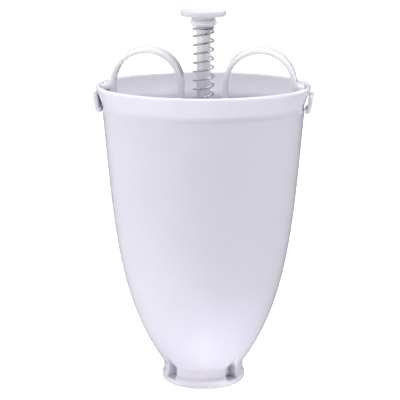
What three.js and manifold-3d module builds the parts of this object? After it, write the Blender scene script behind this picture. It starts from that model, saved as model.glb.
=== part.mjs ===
// Ring-doughnut batter dispenser, in millimetres, +Z up.
// The origin is the centre of the nozzle's flat lower face, on the dispenser's axis.
// +X runs from one hanging hook to the other, and -Y is the front.
//
// A bullet-shaped hopper ends in a thick nozzle. A bracket with two finger loops hangs in its
// mouth and guides a sprung push rod, whose valve plug closes the nozzle from inside. Pressing
// the thumb knob lowers the plug, and batter leaves as a ring through the gap round it.

import * as THREE from 'three';
import { ConvexGeometry } from 'three/addons/geometries/ConvexGeometry.js';
import { mergeVertices } from 'three/addons/utils/BufferGeometryUtils.js';
import Module from 'manifold-3d';

const wasm = await Module();
wasm.setup();

// ---- driving dimensions ----

const FIT_GAP = 0.3;          // between any two pieces that would touch
const AROUND = 48;            // flats round the hopper
const AROUND_SMALL = 24;      // flats round the small turned pieces

// hopper: its side is one Bezier curve from the nozzle's neck to the step under the rim band
const HOPPER_HEIGHT = 178.3;
const LIP_RADIUS = 62.5;
const LIP_HALF_THICKNESS = 1.3;
const NECK = { r: 23.5, z: 12.3 };
const BODY_PULL_LOW = { r: 51.2, z: 50.1 };
const BODY_PULL_HIGH = { r: 53.1, z: 99.5 };
const BODY_TOP = { r: 58.9, z: 163.8 };
const BAND_FOOT = { r: 57.9, z: 165.9 };
const MOUTH_WALL_FOOT = { r: 56.2, z: 163.8 };
const WALL = 2.3;

// nozzle
const BORE_RADIUS = 15.5;
const THROAT_Z = 18.5;        // where the bore opens out into the funnel
const FUNNEL_START = { r: 27, z: 24 };
const FLANGE_RADIUS = 24.7;
const FLANGE_ROUND = 4.2;
const FLANGE_TOP_Z = 6.5;

// four moulding pockets in the nozzle's side, each narrowing to a pointed top
const POCKET_ANGLE = 41.5;    // degrees from the X axis
const POCKET_HALF_WIDTH = 4.3;
const POCKET_FLOOR_Z = 4.5;
const POCKET_BACK = { r: 17.2, shoulder: 9, tip: 14.5 };
const POCKET_FRONT = { r: 30, shoulder: 14.2, tip: 21.1 };

// sockets inside the mouth that the bracket's arms drop into
const SOCKET = { inner: 55.2, outer: 58.6, shelf: 4.4, cheek: 2, cheekRise: 2.8 };

// hanging hooks, J-shaped in section
const HOOK_WIDTH = 16;
const HOOK_LOW_Z = 162.1;
const HOOK_TOP_Z = 173.2;
const HOOK_FOOT_R = 63;       // outside of the J at its foot
const HOOK_TIP_R = 64.2;      // outside of the J at its tip
const HOOK_THICKNESS = 2.8;
const HOOK_CHAMFER = 0.6;

// finger bracket: one ribbon bent into two loops and a bridge
const STRAP = 3;
const STRAP_WIDTH = 16;
const LOOP_CENTRE_X = 32.9;
const LOOP_RADIUS = 19.8;     // to the middle of the strap
const LOOP_SPRING_Z = 178.6;
const BRIDGE_TOP_Z = 155.3;
const BRIDGE_BEND = 3;
const ARM_TOP_Z = 178.6;
const ARM_REACH = 58.6;
const ARM_FILLET = 4;
const TONGUE_FOOT_Z = 164.8;
const HUB_RADIUS = 8;
const HUB_FOOT_Z = 142.3;
const SPRING_CUP = { radius: 8.8, wall: 1.6, height: 2.2 };

// push rod, return spring and knob
const ROD_RADIUS = 4;
const ROD_STEP_RADIUS = 5;
const ROD_CLEARANCE = 0.3;
const ROD_TOP_Z = 215.4;
const SPIGOT_RADIUS = 3;
const SPIGOT_LENGTH = 2.4;
const COLLAR = { low: 212, high: 215.4, radius: 7.65, seat: 6.4 };
const KNOB_TOP_Z = 221.3;
const KNOB_RADIUS = 13;
const KNOB_NECK_RADIUS = 6.8;
const KNOB_RIM_DEPTH = 3.4;
const KNOB_DISH_DEPTH = 1.9;
const WASHER = { thickness: 0.8, radius: 6.8, bore: 4.5 };
const WIRE_RADIUS = 0.5;
const COIL_RADIUS = 5.8;
const COIL_PITCH = 5.3;
const COIL_END_GAP = 0.2;
const SPRING_END_TURNS = 1;
const SPRING_PHASE = 92;      // degrees: where the last turn ends, seen from above
const STEPS_PER_TURN = 14;

// valve
const VALVE_RADIUS = 15;
const VALVE_FOOT_Z = 1;
const VALVE_EDGE_Z = 5.8;
const VALVE_TOP_Z = 14.5;
const SEAL = { z: 3.4, section: 1, outer: 15.2 };
const SCREW = { head: 3.6, headHeight: 2, shank: 1.6, length: 12 };
const SCREW_SLOT = { length: 3.6, width: 0.8, depth: 1.1 };

// ---- materials ----

const whitePlastic = () => new THREE.MeshStandardMaterial({ color: 0xe6e6ec, roughness: 0.35, metalness: 0 });
const steel = () => new THREE.MeshStandardMaterial({ color: 0x8f9195, roughness: 0.25, metalness: 1 });
const silicone = () => new THREE.MeshStandardMaterial({ color: 0xd9dadd, roughness: 0.6, metalness: 0 });

// ---- helpers ----

const object = new THREE.Group();

function addPart(name, geometry, material) {
  const mesh = new THREE.Mesh(geometry, material);
  mesh.name = name;
  object.add(mesh);
}

/** Turns a closed [radius, height] outline about Z. It runs up on the outside, down on the inside. */
function turned(outline, segments) {
  const points = outline.map(([r, z]) => new THREE.Vector2(r, z));
  return new THREE.LatheGeometry(points, segments).rotateX(Math.PI / 2);
}

/** Extrudes a shape drawn in X and Z, centred on the plane Y = 0. */
function extrudedAcross(shape, width, curveSegments) {
  const geometry = new THREE.ExtrudeGeometry(shape, { depth: width, bevelEnabled: false, curveSegments });
  return geometry.rotateX(Math.PI / 2).translate(0, width / 2, 0);
}

/** Points on an arc in a turned outline, from one angle to another in degrees. */
function arcPoints(r, z, radius, fromDegrees, toDegrees, steps) {
  const points = [];
  for (let i = 0; i <= steps; i += 1) {
    const angle = THREE.MathUtils.degToRad(fromDegrees + (toDegrees - fromDegrees) * i / steps);
    points.push([r + radius * Math.cos(angle), z + radius * Math.sin(angle)]);
  }
  return points;
}

function toSolid(geometry) {
  const bare = geometry.clone();
  bare.deleteAttribute('normal');
  bare.deleteAttribute('uv');
  const merged = mergeVertices(bare, 1e-4);
  const corners = Array.from(merged.index.array);
  const kept = [];
  for (let i = 0; i < corners.length; i += 3) {
    const [a, b, c] = corners.slice(i, i + 3);
    if (a !== b && b !== c && c !== a) kept.push(a, b, c);
  }
  return new wasm.Manifold(new wasm.Mesh({
    numProp: 3,
    vertProperties: new Float32Array(merged.attributes.position.array),
    triVerts: new Uint32Array(kept),
  }));
}

function fromSolid(solid) {
  const mesh = solid.getMesh();
  const geometry = new THREE.BufferGeometry();
  geometry.setAttribute('position', new THREE.BufferAttribute(new Float32Array(mesh.vertProperties), 3));
  geometry.setIndex(new THREE.BufferAttribute(new Uint32Array(mesh.triVerts), 1));
  return geometry;
}

// ---- hopper ----

/** The hopper's outer side, from the nozzle's neck up to the step under the rim band. */
function bodyCurve() {
  const corners = [NECK, BODY_PULL_LOW, BODY_PULL_HIGH, BODY_TOP];
  return new THREE.CubicBezierCurve(...corners.map(({ r, z }) => new THREE.Vector2(r, z)));
}

/** The batter side of the wall: the outer curve moved in by the wall's thickness. */
function innerBodyPoints(steps) {
  const curve = bodyCurve();
  const points = [];
  for (let i = 0; i <= steps; i += 1) {
    const at = curve.getPoint(i / steps);
    const along = curve.getTangent(i / steps);
    const moved = [at.x - along.y * WALL, at.y + along.x * WALL];
    if (moved[1] > FUNNEL_START.z + 1 && moved[1] < MOUTH_WALL_FOOT.z - 3) points.push(moved);
  }
  return points;
}

function hopperOutline() {
  const flangeCorner = FLANGE_RADIUS - FLANGE_ROUND;
  const stepZ = BODY_TOP.z + 0.5;
  const lipZ = HOPPER_HEIGHT - LIP_HALF_THICKNESS;
  return [
    [BORE_RADIUS, 0],
    ...arcPoints(flangeCorner, FLANGE_ROUND, FLANGE_ROUND, -90, 0, 4),
    [FLANGE_RADIUS - 0.3, FLANGE_TOP_Z - 0.8],
    [NECK.r, FLANGE_TOP_Z],
    ...bodyCurve().getPoints(14).map((p) => [p.x, p.y]),
    [BAND_FOOT.r, stepZ],
    [BAND_FOOT.r, BAND_FOOT.z],
    ...arcPoints(LIP_RADIUS - LIP_HALF_THICKNESS, lipZ, LIP_HALF_THICKNESS, -20, 180, 6),
    [MOUTH_WALL_FOOT.r, MOUTH_WALL_FOOT.z],
    ...innerBodyPoints(13).reverse(),
    [FUNNEL_START.r, FUNNEL_START.z],
    [BORE_RADIUS + 2, THROAT_Z + 2],
    [BORE_RADIUS, THROAT_Z],
    [BORE_RADIUS, 0],
  ];
}

/** The core that leaves one pocket: a pointed arch that grows from the pocket's back outwards. */
function pocketCore(angleDegrees) {
  const corners = [];
  for (const { r, shoulder, tip } of [POCKET_BACK, POCKET_FRONT]) {
    for (const y of [-POCKET_HALF_WIDTH, POCKET_HALF_WIDTH]) {
      corners.push(new THREE.Vector3(r, y, POCKET_FLOOR_Z));
      corners.push(new THREE.Vector3(r, y, shoulder));
      corners.push(new THREE.Vector3(r, y / 2, (shoulder + 1.2 * tip) / 2.2));
    }
    corners.push(new THREE.Vector3(r, 0, tip));
  }
  return new ConvexGeometry(corners).rotateZ(THREE.MathUtils.degToRad(angleDegrees));
}

/** A ledge inside the mouth with two cheeks, where an arm of the bracket drops in. */
function armSocket(side) {
  const reach = SOCKET.outer - SOCKET.inner;
  const middle = (SOCKET.inner + SOCKET.outer) / 2;
  const width = STRAP_WIDTH + 2 * FIT_GAP + 2 * SOCKET.cheek;
  const shelfTop = ARM_TOP_Z - STRAP - FIT_GAP;
  const shelf = new THREE.BoxGeometry(reach, width, SOCKET.shelf);
  const blocks = [shelf.translate(middle, 0, shelfTop - SOCKET.shelf / 2)];
  const cheekHeight = SOCKET.cheekRise + SOCKET.shelf;
  for (const end of [-1, 1]) {
    const cheek = new THREE.BoxGeometry(reach, SOCKET.cheek, cheekHeight);
    const cheekY = end * (width - SOCKET.cheek) / 2;
    blocks.push(cheek.translate(middle, cheekY, shelfTop + SOCKET.cheekRise - cheekHeight / 2));
  }
  const turn = side > 0 ? 0 : Math.PI;
  return blocks.map((block) => toSolid(block.rotateZ(turn))).reduce((whole, block) => whole.add(block));
}

function hopper() {
  let solid = toSolid(turned(hopperOutline(), AROUND));
  for (const side of [-1, 1]) {
    solid = solid.add(armSocket(side));
  }
  for (const angle of [POCKET_ANGLE, -POCKET_ANGLE, 180 - POCKET_ANGLE, 180 + POCKET_ANGLE]) {
    solid = solid.subtract(toSolid(pocketCore(angle)));
  }
  return fromSolid(solid);
}

/** A hook like a J, open at the top, that follows the flare of the rim band. */
function hangingHook(side) {
  const root = BODY_TOP.r + FIT_GAP;
  const tipZ = HOOK_TOP_Z - HOOK_CHAMFER;
  const shape = new THREE.Shape();
  shape.moveTo(root, HOOK_LOW_Z);
  shape.lineTo(HOOK_FOOT_R - 2, HOOK_LOW_Z);
  shape.quadraticCurveTo(HOOK_FOOT_R - 0.3, HOOK_LOW_Z + 0.4, HOOK_FOOT_R, HOOK_LOW_Z + 3);
  shape.lineTo(HOOK_TIP_R, tipZ);
  shape.lineTo(HOOK_TIP_R - HOOK_CHAMFER, HOOK_TOP_Z);
  shape.lineTo(HOOK_TIP_R - HOOK_THICKNESS + HOOK_CHAMFER, HOOK_TOP_Z);
  shape.lineTo(HOOK_TIP_R - HOOK_THICKNESS, tipZ);
  shape.lineTo(HOOK_FOOT_R - HOOK_THICKNESS, HOOK_LOW_Z + HOOK_THICKNESS + 1);
  shape.lineTo(root, HOOK_LOW_Z + HOOK_THICKNESS);
  shape.closePath();
  return extrudedAcross(shape, HOOK_WIDTH, 4).rotateZ(side > 0 ? 0 : Math.PI);
}

// ---- finger bracket ----

/** The ribbon's outline from the bridge's middle out to the arm and back, on the +X side. */
function halfRibbon() {
  const outer = LOOP_RADIUS + STRAP / 2;
  const inner = LOOP_RADIUS - STRAP / 2;
  const legInside = LOOP_CENTRE_X - outer;
  const legOutside = LOOP_CENTRE_X - inner;
  const tongueInside = LOOP_CENTRE_X + inner;
  const tongueOutside = LOOP_CENTRE_X + outer;
  const bridgeFoot = BRIDGE_TOP_Z - STRAP;
  const armFoot = ARM_TOP_Z - STRAP;
  const shape = new THREE.Shape();
  shape.moveTo(0, bridgeFoot);
  shape.lineTo(legOutside - BRIDGE_BEND, bridgeFoot);
  shape.absarc(legOutside - BRIDGE_BEND, bridgeFoot + BRIDGE_BEND, BRIDGE_BEND, -Math.PI / 2, 0, false);
  shape.lineTo(legOutside, LOOP_SPRING_Z);
  shape.absarc(LOOP_CENTRE_X, LOOP_SPRING_Z, inner, Math.PI, 0, true);
  shape.lineTo(tongueInside, TONGUE_FOOT_Z);
  shape.lineTo(tongueOutside - 1, TONGUE_FOOT_Z);
  shape.lineTo(tongueOutside, TONGUE_FOOT_Z + 1.5);
  shape.lineTo(tongueOutside, armFoot);
  shape.lineTo(ARM_REACH, armFoot);
  shape.lineTo(ARM_REACH, ARM_TOP_Z);
  shape.quadraticCurveTo(tongueOutside, ARM_TOP_Z, tongueOutside - 0.35, ARM_TOP_Z + ARM_FILLET);
  shape.absarc(LOOP_CENTRE_X, LOOP_SPRING_Z, outer, Math.asin(ARM_FILLET / outer), Math.PI, false);
  shape.lineTo(legInside, BRIDGE_TOP_Z);
  return shape;
}

function bracketShape() {
  const right = halfRibbon().getPoints(12).filter((p) => p.x > 1e-6);
  const left = right.map((p) => new THREE.Vector2(-p.x, p.y)).reverse();
  return new THREE.Shape([...right, ...left]);
}

function fingerBracket() {
  const ribbon = toSolid(extrudedAcross(bracketShape(), STRAP_WIDTH));
  const hub = toSolid(turned([
    [0, HUB_FOOT_Z], [HUB_RADIUS - 1, HUB_FOOT_Z], [HUB_RADIUS, HUB_FOOT_Z + 1],
    [HUB_RADIUS, BRIDGE_TOP_Z - STRAP / 2], [0, BRIDGE_TOP_Z - STRAP / 2],
  ], AROUND_SMALL));
  const cupTop = BRIDGE_TOP_Z + SPRING_CUP.height;
  const cupInside = SPRING_CUP.radius - SPRING_CUP.wall;
  const cup = toSolid(turned([
    [cupInside, BRIDGE_TOP_Z - 1], [SPRING_CUP.radius, BRIDGE_TOP_Z - 1],
    [SPRING_CUP.radius, cupTop], [cupInside, cupTop], [cupInside, BRIDGE_TOP_Z - 1],
  ], AROUND_SMALL));
  const holeRadius = ROD_RADIUS + ROD_CLEARANCE;
  const hole = toSolid(turned([
    [0, HUB_FOOT_Z - 2], [holeRadius, HUB_FOOT_Z - 2], [holeRadius, cupTop], [0, cupTop],
  ], AROUND_SMALL));
  return fromSolid(ribbon.add(hub).add(cup).subtract(hole));
}

// ---- plunger ----

function pushRod() {
  const shoulderZ = HUB_FOOT_Z - FIT_GAP;
  const screwHole = SCREW.shank + FIT_GAP;
  const spigotFoot = VALVE_EDGE_Z + 2 * FIT_GAP;
  return turned([
    [screwHole, spigotFoot],
    [SPIGOT_RADIUS, spigotFoot],
    [SPIGOT_RADIUS, VALVE_TOP_Z + FIT_GAP],
    [ROD_STEP_RADIUS, VALVE_TOP_Z + FIT_GAP],
    [ROD_STEP_RADIUS, shoulderZ - 1],
    [ROD_RADIUS, shoulderZ],
    [ROD_RADIUS, ROD_TOP_Z],
    [SPIGOT_RADIUS, ROD_TOP_Z],
    [SPIGOT_RADIUS, ROD_TOP_Z + SPIGOT_LENGTH],
    [0, ROD_TOP_Z + SPIGOT_LENGTH],
    [0, VALVE_TOP_Z + 3],
    [screwHole, VALVE_TOP_Z + 2],
    [screwHole, spigotFoot],
  ], AROUND_SMALL);
}

function springCollar() {
  const bore = ROD_RADIUS + ROD_CLEARANCE;
  return turned([
    [bore, COLLAR.low],
    [COLLAR.seat - 0.6, COLLAR.low],
    [COLLAR.seat, COLLAR.low + 0.5],
    [COLLAR.radius, COLLAR.low + 1.4],
    [COLLAR.radius, COLLAR.high - 0.9],
    [COLLAR.radius - 0.8, COLLAR.high],
    [bore, COLLAR.high],
    [bore, COLLAR.low],
  ], AROUND_SMALL);
}

/** A shallow thumb dish on a short neck, bored from below for the rod's spigot. */
function thumbKnob() {
  const foot = COLLAR.high + FIT_GAP;
  const underside = KNOB_TOP_Z - KNOB_RIM_DEPTH;
  const socket = SPIGOT_RADIUS + FIT_GAP;
  const socketTop = ROD_TOP_Z + SPIGOT_LENGTH + FIT_GAP;
  return turned([
    [socket, foot],
    [KNOB_NECK_RADIUS, foot],
    [KNOB_NECK_RADIUS, underside - 0.6],
    [KNOB_NECK_RADIUS + 0.8, underside - 0.1],
    [KNOB_RADIUS - 1, underside],
    [KNOB_RADIUS, underside + 0.9],
    [KNOB_RADIUS, KNOB_TOP_Z - 0.4],
    [KNOB_RADIUS - 0.4, KNOB_TOP_Z],
    [KNOB_RADIUS - 1, KNOB_TOP_Z - 0.1],
    [KNOB_RADIUS - 3, KNOB_TOP_Z - 0.7 * KNOB_DISH_DEPTH],
    [0, KNOB_TOP_Z - KNOB_DISH_DEPTH],
    [0, socketTop],
    [socket, socketTop],
    [socket, foot],
  ], AROUND_SMALL);
}

function springWasher() {
  const low = BRIDGE_TOP_Z + FIT_GAP;
  const high = low + WASHER.thickness;
  return turned([
    [WASHER.bore, low], [WASHER.radius, low], [WASHER.radius, high], [WASHER.bore, high], [WASHER.bore, low],
  ], AROUND_SMALL);
}

/** A right-handed compression spring whose first and last turns lie nearly flat. */
class SpringLine extends THREE.Curve {
  constructor(lowZ, highZ) {
    super();
    this.lowZ = lowZ;
    this.endRise = 2.4 * WIRE_RADIUS;
    this.openLength = highZ - lowZ - 2 * this.endRise;
    this.openTurns = Math.round(this.openLength / COIL_PITCH);
    this.turns = this.openTurns + 2 * SPRING_END_TURNS;
  }

  heightAfter(turns) {
    const open = THREE.MathUtils.clamp(turns - SPRING_END_TURNS, 0, this.openTurns);
    const closed = turns - open;
    return this.lowZ + closed * this.endRise / SPRING_END_TURNS + open * this.openLength / this.openTurns;
  }

  getPoint(t, target = new THREE.Vector3()) {
    const turns = t * this.turns;
    const angle = THREE.MathUtils.degToRad(SPRING_PHASE) + 2 * Math.PI * (turns - this.turns);
    return target.set(COIL_RADIUS * Math.cos(angle), COIL_RADIUS * Math.sin(angle), this.heightAfter(turns));
  }
}

function returnSpring() {
  const washerTop = BRIDGE_TOP_Z + FIT_GAP + WASHER.thickness;
  const endMargin = COIL_END_GAP + WIRE_RADIUS;
  const line = new SpringLine(washerTop + endMargin, COLLAR.low - endMargin);
  const section = new THREE.Shape();
  section.absarc(0, 0, WIRE_RADIUS, 0, 2 * Math.PI, false);
  return new THREE.ExtrudeGeometry(section, {
    steps: Math.round(line.turns * STEPS_PER_TURN), curveSegments: 3, extrudePath: line,
  });
}

// ---- valve ----

function valvePlug() {
  const socket = SPIGOT_RADIUS + FIT_GAP;
  const headBore = SCREW.head + FIT_GAP;
  const headTop = VALVE_FOOT_Z + SCREW.headHeight + 2 * FIT_GAP;
  const screwBore = SCREW.shank + FIT_GAP;
  const grooveRadius = SEAL.outer - 2 * SEAL.section - FIT_GAP;
  const grooveHalf = SEAL.section + 0.2;
  return turned([
    [headBore, VALVE_FOOT_Z],
    [VALVE_RADIUS - 0.8, VALVE_FOOT_Z],
    [VALVE_RADIUS, VALVE_FOOT_Z + 0.8],
    [VALVE_RADIUS, SEAL.z - grooveHalf],
    [grooveRadius, SEAL.z - grooveHalf],
    [grooveRadius, SEAL.z + grooveHalf],
    [VALVE_RADIUS, SEAL.z + grooveHalf],
    [VALVE_RADIUS, VALVE_EDGE_Z - 0.5],
    [VALVE_RADIUS - 0.6, VALVE_EDGE_Z],
    [ROD_STEP_RADIUS + 1.4, VALVE_TOP_Z - 2.6],
    [ROD_STEP_RADIUS + 0.4, VALVE_TOP_Z],
    [socket, VALVE_TOP_Z],
    [socket, VALVE_EDGE_Z],
    [screwBore, VALVE_EDGE_Z],
    [screwBore, headTop],
    [headBore, headTop],
    [headBore, VALVE_FOOT_Z],
  ], AROUND_SMALL);
}

function valveSeal() {
  const centre = SEAL.outer - SEAL.section;
  return new THREE.TorusGeometry(centre, SEAL.section, 8, AROUND_SMALL).translate(0, 0, SEAL.z);
}

/** A pan-head screw with a cross recess, driven up into the rod's lower end. */
function valveScrew() {
  const headFoot = VALVE_FOOT_Z + FIT_GAP;
  const headTop = headFoot + SCREW.headHeight;
  let solid = toSolid(turned([
    [0, headFoot], [SCREW.head - 1, headFoot], [SCREW.head, headFoot + 0.9], [SCREW.head, headTop],
    [SCREW.shank, headTop], [SCREW.shank, headTop + SCREW.length - 1], [0, headTop + SCREW.length],
  ], 20));
  for (const turn of [0, Math.PI / 2]) {
    const slot = new THREE.BoxGeometry(SCREW_SLOT.length, SCREW_SLOT.width, 2 * SCREW_SLOT.depth);
    solid = solid.subtract(toSolid(slot.rotateZ(turn).translate(0, 0, headFoot)));
  }
  return fromSolid(solid);
}

// ---- assembly ----

addPart('hopper', hopper(), whitePlastic());
addPart('right_hanging_hook', hangingHook(1), whitePlastic());
addPart('left_hanging_hook', hangingHook(-1), whitePlastic());
addPart('finger_bracket', fingerBracket(), whitePlastic());
addPart('push_rod', pushRod(), whitePlastic());
addPart('spring_collar', springCollar(), whitePlastic());
addPart('thumb_knob', thumbKnob(), whitePlastic());
addPart('spring_washer', springWasher(), steel());
addPart('return_spring', returnSpring(), steel());
addPart('valve_plug', valvePlug(), whitePlastic());
addPart('valve_seal', valveSeal(), silicone());
addPart('valve_screw', valveScrew(), steel());

export default object;
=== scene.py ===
"""Looks of a ring-doughnut batter dispenser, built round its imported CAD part.

Outlines are in millimetres and are turned into metres as each mesh is made.
"""

import math

import bmesh
import bpy
import numpy as np
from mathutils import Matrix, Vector


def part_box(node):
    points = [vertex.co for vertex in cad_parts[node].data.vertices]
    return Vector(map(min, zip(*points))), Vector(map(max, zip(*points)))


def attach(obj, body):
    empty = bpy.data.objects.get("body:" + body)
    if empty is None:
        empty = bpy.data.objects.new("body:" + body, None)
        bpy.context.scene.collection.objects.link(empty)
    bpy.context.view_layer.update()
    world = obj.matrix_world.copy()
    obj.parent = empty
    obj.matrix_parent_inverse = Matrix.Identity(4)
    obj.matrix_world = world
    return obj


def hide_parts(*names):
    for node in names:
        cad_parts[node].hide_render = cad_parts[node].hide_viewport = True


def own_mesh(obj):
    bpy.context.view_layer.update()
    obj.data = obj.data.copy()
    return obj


MM = 0.001
TINY = 1e-6                   # millimetres, taken as no length at all
FIT_GAP = 0.3                 # between two pieces that fit together
AROUND_SMALL = 128            # columns round the small turned pieces
AROUND_ROD = 96               # columns round the rod and what fits on it
AROUND_SCREW = 64

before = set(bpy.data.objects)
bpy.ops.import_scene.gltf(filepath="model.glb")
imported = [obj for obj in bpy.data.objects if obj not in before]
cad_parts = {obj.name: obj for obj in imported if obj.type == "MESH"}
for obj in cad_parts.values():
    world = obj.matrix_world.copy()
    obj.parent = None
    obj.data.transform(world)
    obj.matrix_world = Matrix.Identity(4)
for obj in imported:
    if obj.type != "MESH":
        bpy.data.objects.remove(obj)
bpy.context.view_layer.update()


# ---------------------------------------------------------------- geometry helpers

def node_box(node):
    """Lowest and highest corner of a CAD node, in millimetres."""
    low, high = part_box(node)
    return low / MM, high / MM


def arc(r, z, radius, start, end, steps):
    """Points on an arc, from one angle to another in degrees."""
    points = []
    for i in range(steps + 1):
        angle = math.radians(start + (end - start) * i / steps)
        points.append((r + radius * math.cos(angle), z + radius * math.sin(angle)))
    return points


def filleted(corners, steps=5):
    """A closed outline whose corners (r, z, fillet radius) are rounded off."""
    count = len(corners)
    outline = []
    for i in range(count):
        before = Vector(corners[i - 1][:2])
        here = Vector(corners[i][:2])
        after = Vector(corners[(i + 1) % count][:2])
        fillet = corners[i][2] if len(corners[i]) > 2 else 0.0
        back = before - here
        ahead = after - here
        if fillet <= 0 or back.length < TINY or ahead.length < TINY:
            outline.append(tuple(here))
            continue
        half = back.angle(ahead) / 2
        if abs(half - math.pi / 2) < 1e-3:
            outline.append(tuple(here))
            continue
        reach = min(fillet / math.tan(half), 0.49 * back.length, 0.49 * ahead.length)
        start = here + back.normalized() * reach
        end = here + ahead.normalized() * reach
        for k in range(steps + 1):
            t = k / steps
            point = start * (1 - t) ** 2 + here * 2 * t * (1 - t) + end * t * t
            outline.append(tuple(point))
    return outline


def curve_between(start, pull, end, steps=10):
    """Points on a curve that leaves start towards pull and arrives at end from it."""
    a, b, c = (np.array(p) for p in (start, pull, end))
    points = []
    for i in range(steps + 1):
        t = i / steps
        points.append(tuple(a * (1 - t) ** 2 + b * 2 * t * (1 - t) + c * t * t))
    return points


def object_from(name, mesh):
    made = bpy.data.objects.new(name, mesh)
    bpy.context.scene.collection.objects.link(made)
    return made


def finish_mesh(mesh, sharp_degrees=35):
    """Smooth shading, with an edge kept where two faces meet at more than the angle."""
    mesh.validate()
    mesh.shade_smooth()
    mesh.set_sharp_from_angle(angle=math.radians(sharp_degrees))


def revolved(name, outline, columns):
    """Turns a closed outline (r, z) about Z."""
    builder = bmesh.new()
    rings = []
    for r, z in outline:
        if r < TINY:
            rings.append([builder.verts.new((0, 0, z * MM))])
            continue
        ring = []
        for k in range(columns):
            angle = 2 * math.pi * k / columns
            ring.append(builder.verts.new((
                r * MM * math.cos(angle), r * MM * math.sin(angle), z * MM)))
        rings.append(ring)
    count = len(rings)
    for i in range(count):
        low, high = rings[i], rings[(i + 1) % count]
        if len(low) == 1 and len(high) == 1:
            continue
        for k in range(columns):
            n = (k + 1) % columns
            if len(low) == 1:
                face = (low[0], high[n], high[k])
            elif len(high) == 1:
                face = (low[k], low[n], high[0])
            else:
                face = (low[k], low[n], high[n], high[k])
            builder.faces.new(face)
    bmesh.ops.recalc_face_normals(builder, faces=builder.faces)
    mesh = bpy.data.meshes.new(name)
    builder.to_mesh(mesh)
    builder.free()
    finish_mesh(mesh)
    return object_from(name, mesh)


def slab(name, outline, width, bevel, segments=4, turn=0.0):
    """Extrudes an outline in X and Z across Y, centred, with its rims rounded over."""
    builder = bmesh.new()
    front = [builder.verts.new((x * MM, -width / 2 * MM, z * MM)) for x, z in outline]
    back = [builder.verts.new((x * MM, width / 2 * MM, z * MM)) for x, z in outline]
    count = len(outline)
    front_face = builder.faces.new(front)
    back_face = builder.faces.new(list(reversed(back)))
    for i in range(count):
        n = (i + 1) % count
        builder.faces.new((front[n], front[i], back[i], back[n]))
    bmesh.ops.recalc_face_normals(builder, faces=builder.faces)
    rims = list(front_face.edges) + list(back_face.edges)
    bmesh.ops.bevel(
        builder, geom=rims, offset=bevel * MM, offset_type="OFFSET", segments=segments,
        profile=0.5, affect="EDGES", clamp_overlap=True)
    mesh = bpy.data.meshes.new(name)
    builder.to_mesh(mesh)
    builder.free()
    finish_mesh(mesh)
    made = object_from(name, mesh)
    made.rotation_euler = (0, 0, turn)
    return made


def united(target, others):
    """Joins closed solids into one with exact booleans."""
    for other in others:
        step = target.modifiers.new("join", "BOOLEAN")
        step.operation = "UNION"
        step.solver = "EXACT"
        step.object = other
    bake(target)
    for other in others:
        bpy.data.objects.remove(other, do_unlink=True)
    return target


def cut_out(target, tool):
    """Takes the tool's solid out of the target."""
    step = target.modifiers.new("cut", "BOOLEAN")
    step.operation = "DIFFERENCE"
    step.solver = "EXACT"
    step.object = tool
    bake(target)
    bpy.data.objects.remove(tool, do_unlink=True)


def bake(target):
    """Applies every modifier to the object's own mesh."""
    bpy.context.view_layer.update()
    graph = bpy.context.evaluated_depsgraph_get()
    done = bpy.data.meshes.new_from_object(target.evaluated_get(graph))
    target.modifiers.clear()
    target.data = done


def weighted(target):
    """Shades the flats flat, and puts the curvature in the rounded rims."""
    step = target.modifiers.new("weighted", "WEIGHTED_NORMAL")
    step.keep_sharp = True
    step.weight = 100


# ---------------------------------------------------------------- materials

def node_tree(name):
    material = bpy.data.materials.new(name)
    material.use_nodes = True
    return material, material.node_tree


def object_place(tree):
    """Where a point is on its piece, which the textures are placed by."""
    return tree.nodes.new("ShaderNodeTexCoord").outputs["Object"]


def noise(tree, place, scale, detail=2.0, roughness=0.5):
    node = tree.nodes.new("ShaderNodeTexNoise")
    node.inputs["Scale"].default_value = scale
    node.inputs["Detail"].default_value = detail
    node.inputs["Roughness"].default_value = roughness
    tree.links.new(place, node.inputs["Vector"])
    return node.outputs["Fac"]


def shaded(tree, factor, low, high, ends=(0, 1)):
    """A colour that goes from low to high as the factor goes between its ends."""
    node = tree.nodes.new("ShaderNodeValToRGB")
    for stop, position, colour in zip(node.color_ramp.elements, ends, (low, high)):
        stop.position = position
        stop.color = (*colour, 1)
    tree.links.new(factor, node.inputs["Fac"])
    return node.outputs["Color"]


def ranged(tree, value, low, high, ends=(0, 1)):
    """A number that goes from low to high as the value goes between its ends."""
    node = tree.nodes.new("ShaderNodeMapRange")
    node.inputs["From Min"].default_value = ends[0]
    node.inputs["From Max"].default_value = ends[1]
    node.inputs["To Min"].default_value = low
    node.inputs["To Max"].default_value = high
    tree.links.new(value, node.inputs["Value"])
    return node.outputs["Result"]


def bumped(tree, height, strength, distance, under=None):
    """A surface raised by the height, on top of another bump if one is given."""
    node = tree.nodes.new("ShaderNodeBump")
    node.inputs["Strength"].default_value = strength
    node.inputs["Distance"].default_value = distance
    tree.links.new(height, node.inputs["Height"])
    if under is not None:
        tree.links.new(under, node.inputs["Normal"])
    return node.outputs["Normal"]


def let_light_in(shader, weight, radius, scale):
    """Light enters the material and comes out nearby, scale metres away."""
    shader.inputs["Subsurface Weight"].default_value = weight
    shader.inputs["Subsurface Radius"].default_value = radius
    shader.inputs["Subsurface Scale"].default_value = scale


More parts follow.
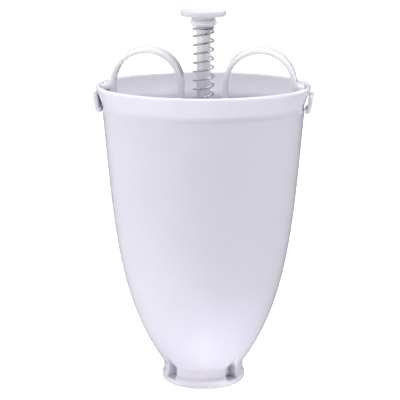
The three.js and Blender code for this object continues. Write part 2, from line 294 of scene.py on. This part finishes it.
def moulded_plastic(name, colour, tint, roughness, subsurface):
    """White moulded plastic: faint cloudiness, fine orange peel, and light scuffs that dull it."""
    material, tree = node_tree(name)
    shader = tree.nodes["Principled BSDF"]
    shader.inputs["IOR"].default_value = 1.49
    let_light_in(shader, subsurface, (1.0, 0.95, 0.9), 0.006)
    place = object_place(tree)
    cloud = noise(tree, place, scale=28, detail=4, roughness=0.55)
    cloudy = shaded(tree, cloud, tint, colour, ends=(0.3, 0.7))
    tree.links.new(cloudy, shader.inputs["Base Color"])
    scuffs = noise(tree, place, scale=260, detail=6, roughness=0.65)
    gloss = ranged(tree, scuffs, roughness, roughness + 0.10, ends=(0.35, 0.75))
    tree.links.new(gloss, shader.inputs["Roughness"])
    wave = noise(tree, place, scale=70, detail=2)
    wavy = bumped(tree, wave, strength=0.08, distance=0.0006)
    peel = noise(tree, place, scale=900, detail=3)
    peeled = bumped(tree, peel, strength=0.10, distance=0.00012, under=wavy)
    tree.links.new(peeled, shader.inputs["Normal"])
    return material


def drawn_steel(name, colour, roughness, line_scale):
    """Bright stainless steel with fine lines, and patches that are a little duller."""
    material, tree = node_tree(name)
    shader = tree.nodes["Principled BSDF"]
    shader.inputs["Metallic"].default_value = 1.0
    place = object_place(tree)
    stretch = tree.nodes.new("ShaderNodeMapping")
    stretch.inputs["Scale"].default_value = (1, 1, line_scale)
    tree.links.new(place, stretch.inputs["Vector"])
    patches = noise(tree, place, scale=220, detail=3)
    darker = [0.82 * c for c in colour]
    patchy = shaded(tree, patches, darker, colour, ends=(0.3, 0.7))
    tree.links.new(patchy, shader.inputs["Base Color"])
    lines = noise(tree, stretch.outputs["Vector"], scale=900, detail=5)
    dulled = ranged(tree, lines, roughness, roughness + 0.14)
    tree.links.new(dulled, shader.inputs["Roughness"])
    lined = bumped(tree, lines, strength=0.2, distance=0.00002)
    tree.links.new(lined, shader.inputs["Normal"])
    return material


def silicone_rubber(name):
    """Cloudy silicone: soft, matt, and a little see-through."""
    material, tree = node_tree(name)
    shader = tree.nodes["Principled BSDF"]
    shader.inputs["Roughness"].default_value = 0.55
    let_light_in(shader, 0.35, (1.0, 1.0, 1.0), 0.002)
    cloud = noise(tree, object_place(tree), scale=160)
    cloudy = shaded(tree, cloud, (0.62, 0.63, 0.66), (0.74, 0.75, 0.77))
    tree.links.new(cloudy, shader.inputs["Base Color"])
    uneven = bumped(tree, cloud, strength=0.15, distance=0.0001)
    tree.links.new(uneven, shader.inputs["Normal"])
    return material


# One white plastic in three copies. The hopper's copy, also used for its hooks and sockets, has a
# greyer base colour than white plastic has, as painted shade.
SHADED_BODY_PLASTIC = moulded_plastic(
    "shaded_body_plastic", (0.57, 0.565, 0.632), (0.557, 0.552, 0.619), roughness=0.13, subsurface=1.0)
# The fittings' copy has a whiter base colour, as painted light, so that they stand out lighter than
# the hopper.
LIT_FITTING_PLASTIC = moulded_plastic(
    "lit_fitting_plastic", (0.86, 0.85, 0.905), (0.845, 0.835, 0.89), roughness=0.15, subsurface=1.0)
# The knob's copy has a greyer base colour than the fittings' copy, as painted shade.
SHADED_KNOB_PLASTIC = moulded_plastic(
    "shaded_knob_plastic", (0.64, 0.635, 0.685), (0.627, 0.622, 0.672), roughness=0.15, subsurface=0.3)
WIRE_STEEL = drawn_steel("wire_steel", (0.52, 0.53, 0.56), roughness=0.2, line_scale=1)
SCREW_STEEL = drawn_steel("screw_steel", (0.62, 0.62, 0.64), roughness=0.26, line_scale=6)
SEAL_RUBBER = silicone_rubber("seal_rubber")


def place_piece(piece, body, node, material):
    """Gives a piece its material, its body and the CAD node it stands for."""
    piece.data.materials.clear()
    piece.data.materials.append(material)
    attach(piece, body)
    if node:
        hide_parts(node)
    return piece


# ---------------------------------------------------------------- hopper

WALL = 2.3
NECK = (23.5, 12.3)             # where the body's outer side starts, as radius and height
BODY_PULL_LOW = (51.2, 50.1)
BODY_PULL_HIGH = (53.1, 99.5)
BODY_TOP = (58.9, 163.8)
SIDE_STEPS = 110
BAND_STEP = (58.35, 166.2)      # a shallow waist where the rim band starts
FLARE_START = (59.3, 168.4)
LIP_RADIUS = node_box("hopper")[1].x
LIP_HALF = 1.3
LIP_Z = node_box("hopper")[1].z - LIP_HALF
LIP_FOOT = -20                  # where the flare runs into the round lip, in degrees
MOUTH_FOOT = (56.2, 163.8)
MOUTH_STEPS = 10
BORE = 15.5
THROAT_Z = 18.5
FUNNEL_START = (27.0, 24.0)
FLANGE_RADIUS = 24.7
FLANGE_ROUND = 4.2
FLANGE_TOP_Z = 6.5
POCKET_ANGLES = (41.5, 138.5, 221.5, 318.5)
POCKET_HALF = 4.3
POCKET_FLOOR_Z = 4.5
POCKET_BACK = 17.2
POCKET_SHOULDER_Z = 9.0       # at the pocket's back
POCKET_TIP_Z = 14.5           # at the pocket's back
POCKET_ROOF_SLOPE = 0.516     # rise of the pocket's roof towards its mouth
POCKET_ROOF_BOW = 0.1         # how far the roof's two sides are from straight
POCKET_DRAFT = 0.5
POCKET_ZONE_Z = POCKET_TIP_Z + 8     # no pocket reaches higher on the outer skin
POCKET_ROW_STEP = 0.28        # between rows of points where the pockets are
POCKET_SPREAD = 13            # degrees to each side of a pocket that have close columns
POCKET_COLUMNS = 72
COLUMNS_BETWEEN = 34


def body_curve(t):
    """Point and direction of the hopper's outer side at t, from the neck up."""
    a, b, c, d = (np.array(p) for p in (NECK, BODY_PULL_LOW, BODY_PULL_HIGH, BODY_TOP))
    s = 1 - t
    point = s ** 3 * a + 3 * s * s * t * b + 3 * s * t * t * c + t ** 3 * d
    along = 3 * s * s * (b - a) + 6 * s * t * (c - b) + 3 * t * t * (d - c)
    return point, along / np.linalg.norm(along)


def nozzle_outline():
    """The nozzle's outer side, from its end ring up to the neck."""
    return [
        (BORE + 0.5, 0.0),
        *arc(FLANGE_RADIUS - FLANGE_ROUND, FLANGE_ROUND, FLANGE_ROUND, -90, 0, 14),
        (FLANGE_RADIUS - 0.05, FLANGE_ROUND + 0.7),
        (FLANGE_RADIUS - 0.3, FLANGE_TOP_Z - 0.9),
        (NECK[0] + 0.35, FLANGE_TOP_Z - 0.1),
        (NECK[0], FLANGE_TOP_Z + 0.6),
        (NECK[0], NECK[1] - 0.4),
    ]


def rim_outline():
    """The rim band, its flare, the round lip and the mouth's wall inside it."""
    band = curve_between((BODY_TOP[0] - 0.03, BODY_TOP[1] + 0.3), BAND_STEP, FLARE_START, 12)
    lip_middle = LIP_RADIUS - LIP_HALF
    lip = arc(lip_middle, LIP_Z, LIP_HALF, LIP_FOOT, 180, 18)
    flare_middle = tuple((np.array(FLARE_START) + lip[0]) / 2)
    flare = curve_between(FLARE_START, flare_middle, lip[0], 8)[1:-1]
    mouth_top = np.array((lip_middle - LIP_HALF, LIP_Z))
    drop = np.array(MOUTH_FOOT) - mouth_top
    mouth = [tuple(mouth_top + drop * i / MOUTH_STEPS) for i in range(1, MOUTH_STEPS + 1)]
    return [*band, *flare, *lip, *mouth]


def inner_outline():
    """The inside of the hopper, from under the mouth down through the funnel and the bore."""
    inside = []
    for i in range(SIDE_STEPS, -1, -1):
        point, along = body_curve(i / SIDE_STEPS)
        r, z = point[0] - along[1] * WALL, point[1] + along[0] * WALL
        if FUNNEL_START[1] + 1 < z < MOUTH_FOOT[1] - 2:
            inside.append((r, z))
    return [
        *inside,
        FUNNEL_START,
        (22.5, 21.4),
        (BORE + 2.6, 19.9),
        (BORE + 0.9, THROAT_Z + 0.4),
        (BORE + 0.2, THROAT_Z - 0.6),
        (BORE, THROAT_Z - 1.6),
        (BORE, THROAT_Z / 2),
        (BORE, 0.5),
        (BORE + 0.15, 0.15),
    ]


def hopper_outline():
    side = [tuple(body_curve(i / SIDE_STEPS)[0]) for i in range(1, SIDE_STEPS + 1)]
    low_side = [p for p in [*nozzle_outline(), *side] if p[1] < POCKET_ZONE_Z]
    high_side = [p for p in side if p[1] >= POCKET_ZONE_Z]
    return [*resampled(low_side, POCKET_ROW_STEP), *high_side, *rim_outline(), *inner_outline()]


def resampled(points, spacing):
    """The same line with points about evenly spaced along it."""
    line = np.array(points)
    along = np.concatenate(([0], np.cumsum(np.linalg.norm(np.diff(line, axis=0), axis=1))))
    count = int(along[-1] / spacing)
    at = np.linspace(0, along[-1], count)
    return list(zip(np.interp(at, along, line[:, 0]), np.interp(at, along, line[:, 1])))


def pocket_roof(y):
    """Height of a pocket's pointed roof at its back, at a distance y from its middle."""
    share = min(abs(y) / POCKET_HALF, 1)
    fall = (1 - POCKET_ROOF_BOW) * share + POCKET_ROOF_BOW * share * share
    return POCKET_TIP_Z + (POCKET_SHOULDER_Z - POCKET_TIP_Z) * fall


def skin_point(angle, r, z):
    """A point of the hopper's skin, sunk in where a moulding pocket enters the nozzle's side."""
    for centre in POCKET_ANGLES:
        middle = math.radians(centre)
        cos, sin = math.cos(middle), math.sin(middle)
        x, y = r * math.cos(angle - middle), r * math.sin(angle - middle)
        if x < POCKET_BACK or abs(y) > POCKET_HALF:
            continue
        roof = pocket_roof(y)
        back = max(POCKET_BACK, POCKET_BACK + (z - roof) / POCKET_ROOF_SLOPE)
        inside = min(POCKET_HALF - abs(y), z - POCKET_FLOOR_Z)
        if inside <= 0 or back >= x:
            continue
        share = min(inside / POCKET_DRAFT, 1)
        x += (back - x) * share * share * (3 - 2 * share)
        return x * cos - y * sin, x * sin + y * cos
    return r * math.cos(angle), r * math.sin(angle)


def hopper_angles():
    """Column angles, close together where the pockets are."""
    angles = []
    spread = math.radians(POCKET_SPREAD)
    for i, centre in enumerate(POCKET_ANGLES):
        middle = math.radians(centre)
        following = math.radians([*POCKET_ANGLES, POCKET_ANGLES[0] + 360][i + 1])
        angles += list(np.linspace(middle - spread, middle + spread, POCKET_COLUMNS))
        angles += list(np.linspace(middle + spread, following - spread, COLUMNS_BETWEEN)[1:-1])
    return angles


def hopper():
    outline = hopper_outline()
    angles = np.array(hopper_angles())
    columns = len(angles)
    rows = len(outline)
    points = np.zeros((rows, columns, 3))
    for i, (r, z) in enumerate(outline):
        points[i, :, 0] = r * np.cos(angles)
        points[i, :, 1] = r * np.sin(angles)
        points[i, :, 2] = z
        if i < rows / 2 and POCKET_FLOOR_Z < z < POCKET_ZONE_Z:
            points[i, :, :2] = [skin_point(angle, r, z) for angle in angles]
    faces = []
    for i in range(rows):
        above = (i + 1) % rows
        for k in range(columns):
            n = (k + 1) % columns
            faces.append((i * columns + k, i * columns + n, above * columns + n, above * columns + k))
    mesh = bpy.data.meshes.new("hopper_moulding")
    mesh.from_pydata((points.reshape(-1, 3) * MM).tolist(), [], faces)
    finish_mesh(mesh, 50)
    return object_from("hopper_moulding", mesh)


place_piece(hopper(), "hopper_body", "hopper", SHADED_BODY_PLASTIC)


# ---------------------------------------------------------------- sockets and hooks

STRAP = 3.0                     # thickness of the bracket's ribbon
STRAP_WIDTH = 16.0
ARM_TOP_Z = node_box("hopper")[1].z + FIT_GAP
LEDGE_IN = 55.2
LEDGE_OUT = 58.6
LEDGE_HEIGHT = 4.4
LEDGE_OVERHANG = 4.6            # how much wider than the ribbon a ledge is
HOOK_LOW_Z = node_box("right_hanging_hook")[0].z
HOOK_TOP_Z = node_box("right_hanging_hook")[1].z
HOOK_WIDTH = 16.0
HOOK_TIP = 0.6                  # height of the slopes at the hook's tip


def arm_socket(name, turn):
    """The ledge inside the mouth that an arm of the bracket rests on."""
    top = ARM_TOP_Z - STRAP - FIT_GAP
    foot = top - LEDGE_HEIGHT
    shelf = [
        (LEDGE_IN, foot), (LEDGE_OUT - 1.2, foot),
        (LEDGE_OUT, top - 0.2), (LEDGE_OUT, top), (LEDGE_IN, top)]
    return slab(name, shelf, STRAP_WIDTH + LEDGE_OVERHANG, 0.4, 3, turn)


def hanging_hook(name, turn):
    """A J-shaped hook that follows the flare of the rim band."""
    root = BODY_TOP[0] + FIT_GAP
    low = HOOK_LOW_Z
    corners = [
        (root, low, 0.2),
        (62.3, low, 1.6),
        (63.0, low + 3.0, 0.6),
        (64.2, HOOK_TOP_Z - HOOK_TIP, 0.5),
        (63.7, HOOK_TOP_Z, 0.5),
        (61.9, HOOK_TOP_Z, 0.5),
        (61.3, HOOK_TOP_Z - HOOK_TIP, 0.5),
        (60.4, low + 3.3, 1.0),
        (root, low + 2.8, 0.2),
    ]
    return slab(name, filleted(corners), HOOK_WIDTH, 0.5, 4, turn)


for side, turn in (("right", 0.0), ("left", math.pi)):
    socket = arm_socket(f"{side}_arm_socket", turn)
    place_piece(socket, "hopper_body", None, SHADED_BODY_PLASTIC)
    hook = hanging_hook(f"{side}_hook", turn)
    place_piece(hook, "hopper_body", f"{side}_hanging_hook", SHADED_BODY_PLASTIC)


# ---------------------------------------------------------------- finger bracket

LOOP_CENTRE_X = 32.9
LOOP_RADIUS = 19.8
LOOP_SPRING_Z = 178.6
BRIDGE_TOP_Z = 155.3
ARM_REACH = node_box("finger_bracket")[1].x
ARM_FILLET = 4.0
TONGUE_FOOT_Z = 164.8
HUB_RADIUS = 8.0
HUB_FOOT_Z = node_box("finger_bracket")[0].z
CUP_RADIUS = 8.8
CUP_WALL = 1.6
CUP_HEIGHT = 2.2
ROD_RADIUS = 4.0
LEG_FILLET = 3.0                # inside the corner from a loop's inner leg to the bridge
BRIDGE_FILLET = 2.0             # outside the same corner


def ribbon_outline():
    """The bracket's ribbon from the front: loops, arms, tongues, inner legs and bridge."""
    outer = LOOP_RADIUS + STRAP / 2
    inner = LOOP_RADIUS - STRAP / 2
    leg_in, leg_out = LOOP_CENTRE_X - outer, LOOP_CENTRE_X - inner
    tongue_in, tongue_out = LOOP_CENTRE_X + inner, LOOP_CENTRE_X + outer
    foot = BRIDGE_TOP_Z - STRAP
    start = math.degrees(math.asin(ARM_FILLET / outer))
    leg_turn = leg_out - LEG_FILLET
    right = [
        (leg_turn, foot), *arc(leg_turn, foot + LEG_FILLET, LEG_FILLET, -80, 0, 8),
        *arc(LOOP_CENTRE_X, LOOP_SPRING_Z, inner, 180, 0, 56),
        *filleted_run([
            (tongue_in, TONGUE_FOOT_Z, 0.6), (tongue_out - 1, TONGUE_FOOT_Z, 0.6),
            (tongue_out, TONGUE_FOOT_Z + 1.5, 0.5), (tongue_out, ARM_TOP_Z - STRAP, 0.4),
            (ARM_REACH, ARM_TOP_Z - STRAP, 0.5), (ARM_REACH, ARM_TOP_Z, 0.5)]),
        *curve_between(
            (ARM_REACH - 1.2, ARM_TOP_Z), (tongue_out, ARM_TOP_Z),
            (tongue_out - 0.35, ARM_TOP_Z + ARM_FILLET)),
        *arc(LOOP_CENTRE_X, LOOP_SPRING_Z, outer, start, 180, 60)[1:],
        *arc(leg_in - BRIDGE_FILLET, BRIDGE_TOP_Z + BRIDGE_FILLET, BRIDGE_FILLET, 0, -90, 6),
    ]
    left = [(-x, z) for x, z in reversed(right)]
    return [*right, *left]


def filleted_run(corners, steps=4):
    """Rounds the corners of an open run of points; its two ends stay as they are."""
    first, last = corners[0], corners[-1]
    return filleted([(*first[:2], 0), *corners[1:-1], (*last[:2], 0)], steps)


def finger_bracket():
    ribbon = slab("finger_bracket_moulding", ribbon_outline(), STRAP_WIDTH, 0.7, 4)
    inside_bridge = BRIDGE_TOP_Z - 1
    cup_in = CUP_RADIUS - CUP_WALL
    cup_top = BRIDGE_TOP_Z + CUP_HEIGHT
    hub = revolved("hub", filleted([
        (0, HUB_FOOT_Z), (HUB_RADIUS, HUB_FOOT_Z, 0.9), (HUB_RADIUS, BRIDGE_TOP_Z - 4.2, 1.2),
        (HUB_RADIUS + 1.2, BRIDGE_TOP_Z - 2.6), (HUB_RADIUS + 1.2, inside_bridge), (0, inside_bridge),
    ]), AROUND_SMALL)
    cup = revolved("cup", filleted([
        (cup_in, inside_bridge), (CUP_RADIUS, inside_bridge),
        (CUP_RADIUS, cup_top, 0.5), (cup_in, cup_top, 0.5),
    ]), AROUND_SMALL)
    bore_low, bore_high = HUB_FOOT_Z - 2, BRIDGE_TOP_Z + 4
    bore = revolved("bore", [
        (0, bore_low), (ROD_RADIUS + FIT_GAP, bore_low),
        (ROD_RADIUS + FIT_GAP, bore_high), (0, bore_high)], AROUND_SMALL)
    joined = united(ribbon, [hub, cup])
    cut_out(joined, bore)
    finish_mesh(joined.data, 40)
    weighted(joined)
    return joined


place_piece(finger_bracket(), "bracket", "finger_bracket", LIT_FITTING_PLASTIC)


# ---------------------------------------------------------------- rod, spring, knob

ROD_STEP = 5.0
ROD_TOP_Z = node_box("thumb_knob")[0].z - FIT_GAP
ROD_BORE = 1.9                  # radius of the hole that the screw turns into
SPIGOT = 3.0
SPIGOT_HEIGHT = 2.4
COLLAR_LOW, COLLAR_HIGH = node_box("spring_collar")[0].z, node_box("spring_collar")[1].z
COLLAR_RADIUS = node_box("spring_collar")[1].x
KNOB_TOP_Z = node_box("thumb_knob")[1].z
KNOB_RADIUS = node_box("thumb_knob")[1].x
KNOB_NECK = 6.8
KNOB_RIM_DEPTH = 3.4
COLLAR_SEAM = 0.25              # the collar fills this much of the gap under the knob
WASHER_BORE = 4.5
WASHER_RADIUS = 6.8
WIRE_RADIUS = 0.5
COIL_RADIUS = 5.8
COIL_PITCH = 5.3
SPRING_PHASE = 92               # where the wire ends under the collar, in degrees
END_GAP = 0.2                   # between the spring and what it presses on
PLUG_TOP_Z = node_box("valve_plug")[1].z
PLUG_EDGE_Z = 5.8


def push_rod():
    foot = node_box("push_rod")[0].z
    step = PLUG_TOP_Z + FIT_GAP
    shoulder = HUB_FOOT_Z - FIT_GAP
    top = ROD_TOP_Z + SPIGOT_HEIGHT
    return revolved("push_rod_turned", filleted([
        (ROD_BORE, foot, 0.15), (SPIGOT, foot, 0.3), (SPIGOT, step, 0.2), (ROD_STEP, step, 0.4),
        (ROD_STEP, shoulder - 0.9, 0.4), (ROD_RADIUS, shoulder, 0.3), (ROD_RADIUS, ROD_TOP_Z, 0.2),
        (SPIGOT, ROD_TOP_Z, 0.2), (SPIGOT, top, 0.3), (0, top),
        (0, PLUG_TOP_Z + 3), (ROD_BORE, PLUG_TOP_Z + 2)]), AROUND_ROD)


def spring_collar():
    bore = ROD_RADIUS + FIT_GAP
    top = COLLAR_HIGH + COLLAR_SEAM
    return revolved("spring_collar_turned", filleted([
        (bore, COLLAR_LOW, 0.2), (5.9, COLLAR_LOW, 0.4), (6.5, COLLAR_LOW + 0.6, 0.4),
        (COLLAR_RADIUS, COLLAR_LOW + 1.5, 0.7), (COLLAR_RADIUS, COLLAR_LOW + 2.1, 1.1),
        (KNOB_NECK + 0.2, top, 0.3), (bore, top, 0.2)], 7), AROUND_ROD)


def thumb_knob():
    """A shallow dish on a short neck, with a socket for the rod."""
    foot = COLLAR_HIGH + FIT_GAP
    socket = SPIGOT + FIT_GAP
    socket_top = ROD_TOP_Z + SPIGOT_HEIGHT + FIT_GAP
    underside = KNOB_TOP_Z - KNOB_RIM_DEPTH
    return revolved("thumb_knob_turned", filleted([
        (socket, foot, 0.2), (KNOB_NECK, foot, 0.15), (KNOB_NECK, underside, 1.0),
        (KNOB_RADIUS, underside, 1.4),
        (KNOB_RADIUS, KNOB_TOP_Z - 0.1, 0.5), (KNOB_RADIUS - 0.9, KNOB_TOP_Z, 0.5),
        (KNOB_RADIUS - 2.4, KNOB_TOP_Z - 1.0, 1.5), (KNOB_RADIUS - 6, KNOB_TOP_Z - 1.7, 2.0),
        (0, KNOB_TOP_Z - 1.9), (0, socket_top), (socket, socket_top, 0.2)], 8), AROUND_SMALL)


def spring_washer():
    low, high = node_box("spring_washer")[0].z, node_box("spring_washer")[1].z
    return revolved("spring_washer_pressed", filleted([
        (WASHER_BORE, low, 0.15), (WASHER_RADIUS, low, 0.2),
        (WASHER_RADIUS, high, 0.25), (WASHER_BORE, high, 0.2)]), AROUND_ROD)


def return_spring():
    """A right-handed compression spring, closed at both ends, of round wire."""
    low = node_box("spring_washer")[1].z + END_GAP + WIRE_RADIUS
    high = COLLAR_LOW - END_GAP - WIRE_RADIUS
    end_rise = 2.4 * WIRE_RADIUS
    open_length = high - low - 2 * end_rise
    open_turns = round(open_length / COIL_PITCH)
    open_rise = open_length / open_turns
    turns = open_turns + 2
    steps_per_turn = 48
    sides = 14
    builder = bmesh.new()
    rings = []
    for i in range(turns * steps_per_turn + 1):
        turned = i / steps_per_turn
        opened = min(max(turned - 1, 0), open_turns)
        height = low + (turned - opened) * end_rise + opened * open_rise
        angle = math.radians(SPRING_PHASE) + 2 * math.pi * (turned - turns)
        rise = open_rise if 1 < turned < open_turns + 1 else end_rise
        out = Vector((math.cos(angle), math.sin(angle), 0))
        along = Vector((
            -math.sin(angle) * COIL_RADIUS, math.cos(angle) * COIL_RADIUS,
            rise / (2 * math.pi))).normalized()
        up = out.cross(along) * -1
        middle = out * COIL_RADIUS + Vector((0, 0, height))
        ring = []
        for k in range(sides):
            around = 2 * math.pi * k / sides
            offset = (out * math.cos(around) + up * math.sin(around)) * WIRE_RADIUS
            ring.append(builder.verts.new((middle + offset) * MM))
        rings.append(ring)
    for low_ring, high_ring in zip(rings, rings[1:]):
        for k in range(sides):
            n = (k + 1) % sides
            builder.faces.new((low_ring[k], low_ring[n], high_ring[n], high_ring[k]))
    builder.faces.new(rings[0])
    builder.faces.new(list(reversed(rings[-1])))
    bmesh.ops.recalc_face_normals(builder, faces=builder.faces)
    mesh = bpy.data.meshes.new("return_spring_wire")
    builder.to_mesh(mesh)
    builder.free()
    finish_mesh(mesh, 50)
    return object_from("return_spring_wire", mesh)


place_piece(push_rod(), "plunger", "push_rod", LIT_FITTING_PLASTIC)
place_piece(thumb_knob(), "plunger", "thumb_knob", SHADED_KNOB_PLASTIC)
place_piece(spring_collar(), "spring_cap", "spring_collar", LIT_FITTING_PLASTIC)
place_piece(spring_washer(), "bracket", "spring_washer", WIRE_STEEL)
spring = place_piece(return_spring(), "bracket", "return_spring", WIRE_STEEL)
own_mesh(spring)


# ---------------------------------------------------------------- valve

GROOVE_RADIUS = 12.9
GROOVE_LOW_Z = 2.2
GROOVE_HIGH_Z = 4.6
PLUG_TOP_RADIUS = 5.4
SCREW_HEAD_BORE = 3.9
SCREW_HEAD_ROOM = 2.6           # depth of the bore for the screw's head
SCREW_HEAD_HEIGHT = 2.0
SCREW_RADIUS = 1.6
SCREW_LENGTH = 14.0             # with its head
RECESS_DEPTH = 1.1


def valve_plug():
    radius = node_box("valve_plug")[1].x
    foot = node_box("valve_plug")[0].z
    head_top = foot + SCREW_HEAD_ROOM
    socket = SPIGOT + FIT_GAP
    return revolved("valve_plug_turned", filleted([
        (SCREW_HEAD_BORE, foot, 0.3), (radius, foot, 0.9),
        (radius, GROOVE_LOW_Z, 0.2), (GROOVE_RADIUS, GROOVE_LOW_Z, 0.2),
        (GROOVE_RADIUS, GROOVE_HIGH_Z, 0.2), (radius, GROOVE_HIGH_Z, 0.2),
        (radius, PLUG_EDGE_Z, 0.7), (PLUG_TOP_RADIUS + 1, PLUG_TOP_Z - 2.6, 2.5),
        (PLUG_TOP_RADIUS, PLUG_TOP_Z, 0.5), (socket, PLUG_TOP_Z, 0.2), (socket, PLUG_EDGE_Z),
        (ROD_BORE, PLUG_EDGE_Z), (ROD_BORE, head_top), (SCREW_HEAD_BORE, head_top)], 7), AROUND_SMALL)


def valve_seal():
    low, high = node_box("valve_seal")
    section = (high.z - low.z) / 2
    middle = (high.z + low.z) / 2
    outline = arc(high.x - section, middle, section, -180, 160, 17)
    return revolved("valve_seal_ring", outline, AROUND_SMALL)


def valve_screw():
    """A pan-head screw with a cross recess in its head."""
    low = node_box("valve_screw")[0].z
    head = node_box("valve_screw")[1].x
    under_head = low + SCREW_HEAD_HEIGHT
    tip = low + SCREW_LENGTH
    screw = revolved("valve_screw_steel", filleted([
        (0, low), (head - 0.3, low, 0.9), (head, under_head, 0.2), (SCREW_RADIUS, under_head, 0.1),
        (SCREW_RADIUS, tip - 1, 0.3), (0.6, tip), (0, tip)], 6), AROUND_SCREW)
    blade_low, blade_high = low - 1, low + RECESS_DEPTH
    blade = [(-1.9, blade_low), (1.9, blade_low), (1.5, blade_high), (-1.5, blade_high)]
    for turn in (0, math.pi / 2):
        cut_out(screw, slab("blade", blade, 0.8, 0.1, 2, turn))
    finish_mesh(screw.data, 35)
    return screw


place_piece(valve_plug(), "plunger", "valve_plug", LIT_FITTING_PLASTIC)
place_piece(valve_seal(), "plunger", "valve_seal", SEAL_RUBBER)
place_piece(valve_screw(), "plunger", "valve_screw", SCREW_STEEL)


# ---------------------------------------------------------------- floor, light and camera

FLOOR_REACH = 12.0            # metres from the middle to an edge
FLOOR_GAP = 0.0002            # metres under the dispenser, so the two don't touch
FLOOR_GLOW = 0.5
FLOOR_WHITE = 0.95
GRAIN_DEPTH = 0.01            # how much darker the floor's grain is
SKY_LEFT = 1.4                # strength of the sky on the far left
SKY_END = 0.45                # how far towards the right the sky fades to nothing
LOW_WALL = 0.4                # share of the sky's strength below the horizon, seen in reflections
DARK_CARD = (0.86, 0.95)      # where that gives way to a dark card, straight behind the dispenser
HORIZON = 0.05                # how softly one changes to the other


def table_white(name):
    """Matt white table top with a faint grain, lit a little from below like a light table."""
    material, tree = node_tree(name)
    shader = tree.nodes["Principled BSDF"]
    shader.inputs["Specular IOR Level"].default_value = 0.1
    shader.inputs["Roughness"].default_value = 0.9
    shader.inputs["Emission Color"].default_value = (1, 1, 1, 1)
    shader.inputs["Emission Strength"].default_value = FLOOR_GLOW
    grain = noise(tree, object_place(tree), scale=300)
    grained = shaded(tree, grain, [FLOOR_WHITE - GRAIN_DEPTH] * 3, [FLOOR_WHITE] * 3)
    tree.links.new(grained, shader.inputs["Base Color"])
    return material


def floor():
    """A pale table, left out of reflections so that the dispenser's edges stay crisp against it."""
    mesh = bpy.data.meshes.new("floor")
    low, high = -FLOOR_REACH, FLOOR_REACH
    corners = [(low, low, 0), (high, low, 0), (high, high, 0), (low, high, 0)]
    mesh.from_pydata(corners, [], [(0, 1, 2, 3)])
    made = object_from("floor", mesh)
    made.location.z = -FLOOR_GAP
    made.visible_glossy = False
    mesh.materials.append(table_white("floor_white"))


def soft_light(name, place, target, size, power, spread=180):
    """A round lamp, size in metres and power in watts, whose beam opens by spread degrees."""
    lamp = bpy.data.lights.new(name, "AREA")
    lamp.shape = "DISK"
    lamp.size = size
    lamp.energy = power
    lamp.spread = math.radians(spread)
    holder = bpy.data.objects.new(name, lamp)
    bpy.context.scene.collection.objects.link(holder)
    holder.location = place
    holder.rotation_mode = "QUATERNION"
    holder.rotation_quaternion = (Vector(target) - Vector(place)).to_track_quat("-Z", "Y")


def surroundings():
    """A white studio, brightest on the left, with a dark card low down behind the dispenser."""
    world = bpy.data.worlds.new("studio")
    bpy.context.scene.world = world
    world.use_nodes = True
    tree = world.node_tree
    sky = tree.nodes["Background"]
    sky.inputs["Color"].default_value = (1, 1, 1, 1)
    direction = tree.nodes.new("ShaderNodeTexCoord")
    parts = tree.nodes.new("ShaderNodeSeparateXYZ")
    tree.links.new(direction.outputs["Generated"], parts.inputs["Vector"])
    across = ranged(tree, parts.outputs["X"], SKY_LEFT, 0, ends=(-1, SKY_END))
    low_wall = ranged(tree, parts.outputs["Y"], LOW_WALL, 0, ends=DARK_CARD)
    above = ranged(tree, parts.outputs["Z"], 0, 1, ends=(-HORIZON, HORIZON))
    share = tree.nodes.new("ShaderNodeMix")
    share.inputs["B"].default_value = 1
    tree.links.new(above, share.inputs["Factor"])
    tree.links.new(low_wall, share.inputs["A"])
    strength = tree.nodes.new("ShaderNodeMath")
    strength.operation = "MULTIPLY"
    tree.links.new(across, strength.inputs[0])
    tree.links.new(share.outputs["Result"], strength.inputs[1])
    tree.links.new(strength.outputs["Value"], sky.inputs["Strength"])


floor()
surroundings()
soft_light("back_right", (1.1, 1.2, 0.8), (0, 0, 0.1), 0.8, 4.5)
soft_light("low_left", (-1.0, -1.1, 0.12), (0, 0, 0.05), 0.5, 1.6)
soft_light("front", (-0.1, -1.8, 0.75), (0, 0, 0.12), 0.8, 1.6)
soft_light("over_mouth", (0.14, -0.14, 1.6), (0, 0.02, 0.17), 0.6, 14)
soft_light("right_of_mouth", (0.8, 0.0, 1.45), (-0.02, 0.02, 0.17), 0.6, 12)
soft_light("at_nozzle", (0.55, -1.3, 0.08), (0, 0, -0.012), 0.08, 0.014, spread=5)

CAMERA_AZIMUTH = math.radians(4.0)
CAMERA_PITCH = math.radians(11.8)
CAMERA_DISTANCE = 1.0           # metres from the axis, along the floor
CAMERA_HEIGHT = 0.3103
SENSOR_WIDTH = 36
LENS = 155.7                    # millimetres, like the sensor's width
SHIFT = (-0.00875, 0.03375)     # of the frame's centre, as shares of its width

camera_data = bpy.data.cameras.new("camera")
camera_data.sensor_width = SENSOR_WIDTH
camera_data.lens = LENS
camera_data.shift_x, camera_data.shift_y = SHIFT
camera = bpy.data.objects.new("camera", camera_data)
bpy.context.scene.collection.objects.link(camera)
camera.location = (
    CAMERA_DISTANCE * math.sin(CAMERA_AZIMUTH),
    -CAMERA_DISTANCE * math.cos(CAMERA_AZIMUTH),
    CAMERA_HEIGHT)
camera.rotation_euler = (math.pi / 2 - CAMERA_PITCH, 0, CAMERA_AZIMUTH)
bpy.context.scene.camera = camera
bpy.context.scene.view_settings.view_transform = "Standard"
